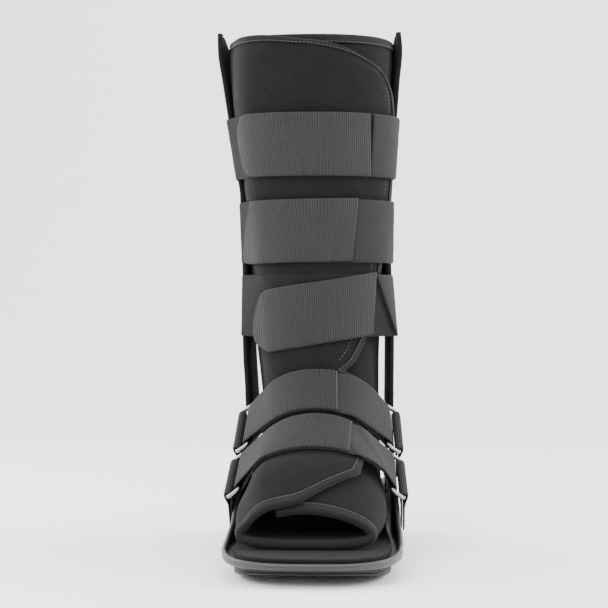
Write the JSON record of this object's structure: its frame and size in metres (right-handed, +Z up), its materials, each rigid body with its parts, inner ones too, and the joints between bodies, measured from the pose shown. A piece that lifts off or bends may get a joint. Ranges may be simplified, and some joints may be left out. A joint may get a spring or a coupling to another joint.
{
  "type": "medical walking boot",
  "caption": "High-top foam walking brace: rigid rocker sole tray, side uprights, padded wrap liner open at the toes and top, closed by calf and instep straps.",
  "frame": {"origin": "on the outsole's flat ground face, straight below the middle of the leg", "axes": "+Z up the leg, -Y towards the toe, +X the boot's left side as worn, right in the front view"},
  "size_m": [0.1539, 0.301, 0.415],
  "materials": {
    "outsole_rubber": "matte",
    "shell_plastic": "satin",
    "insole_foam": "matte",
    "liner_fabric": "napped",
    "binding_tape": "matte",
    "sleeve_fabric": "matte",
    "bar_aluminium": "brushed",
    "rivet_steel": "satin",
    "ring_steel": "polished",
    "tab_webbing": "woven",
    "strap_webbing": "ribbed",
    "loop_pile": "fuzzy"
  },
  "bodies": {
    "root": {"outsole": "outsole_rubber", "sole_shell": "shell_plastic", "insole_pad": "insole_foam", "liner": "liner_fabric", "liner_binding": "binding_tape", "upright_sleeve_left": "sleeve_fabric", "upright_bar_left": "bar_aluminium", "bar_rivet_high_left": "rivet_steel", "bar_rivet_low_left": "rivet_steel", "ring_upper_left": "ring_steel", "ring_tab_upper_left": "tab_webbing", "tab_rivet_upper_left": "rivet_steel", "ring_lower_left": "ring_steel", "ring_tab_lower_left": "tab_webbing", "tab_rivet_lower_left": "rivet_steel", "upright_sleeve_right": "sleeve_fabric", "upright_bar_right": "bar_aluminium", "bar_rivet_high_right": "rivet_steel", "bar_rivet_low_right": "rivet_steel", "ring_upper_right": "ring_steel", "ring_tab_upper_right": "tab_webbing", "tab_rivet_upper_right": "rivet_steel", "ring_lower_right": "ring_steel", "ring_tab_lower_right": "tab_webbing", "tab_rivet_lower_right": "rivet_steel", "instep_strap_upper": "strap_webbing", "instep_strap_lower": "strap_webbing", "calf_strap_upper": "loop_pile", "hook_tab_upper": "strap_webbing", "calf_strap_middle": "loop_pile", "hook_tab_middle": "strap_webbing", "calf_strap_lower": "loop_pile", "hook_tab_lower": "strap_webbing"}
  },
  "joints": []
}
